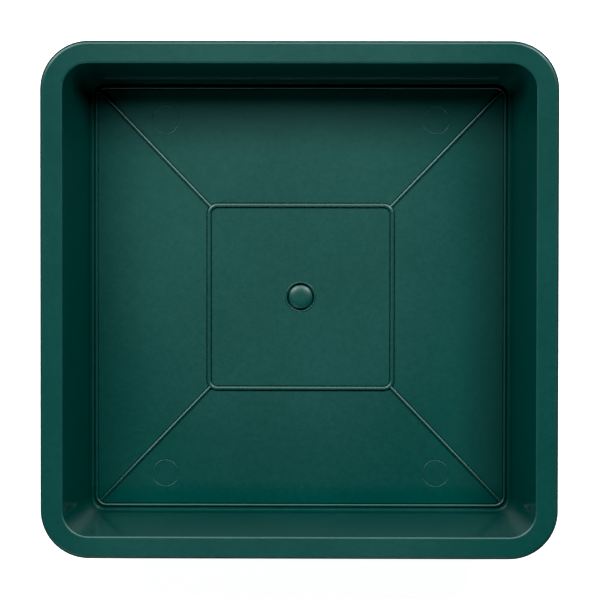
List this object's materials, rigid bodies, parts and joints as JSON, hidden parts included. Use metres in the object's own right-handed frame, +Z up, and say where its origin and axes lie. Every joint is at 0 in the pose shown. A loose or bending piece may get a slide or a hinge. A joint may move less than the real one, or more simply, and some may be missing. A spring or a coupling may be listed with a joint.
{
  "type": "square plant saucer",
  "caption": "Square plant saucer with a flat rim, leaning walls, raised beads on its floor to stand a pot on, a lift-out drain plug and rubber pads under it.",
  "frame": {"origin": "middle of the saucer, on the surface that its four pads stand on", "axes": "+Z up through the drain plug, +X to the right and +Y to the back, as the picture shows the saucer from above"},
  "size_m": [0.3, 0.3, 0.06],
  "materials": {
    "green_plastic": "satin moulded plastic with a fine grain",
    "seal_rubber": "black rubber",
    "pad_rubber": "matt dark grey rubber"
  },
  "bodies": {
    "tray": {"saucer_tray": "green_plastic", "foot_pad_front_left": "pad_rubber", "foot_pad_front_right": "pad_rubber", "foot_pad_back_left": "pad_rubber", "foot_pad_back_right": "pad_rubber"},
    "plug": {"drain_plug": "green_plastic", "plug_washer": "seal_rubber"}
  },
  "joints": [
    {"name": "plug_lift", "type": "slide", "parent": "tray", "child": "plug", "axis": [0, 0, 1], "range_m": [0, 0.06]}
  ]
}
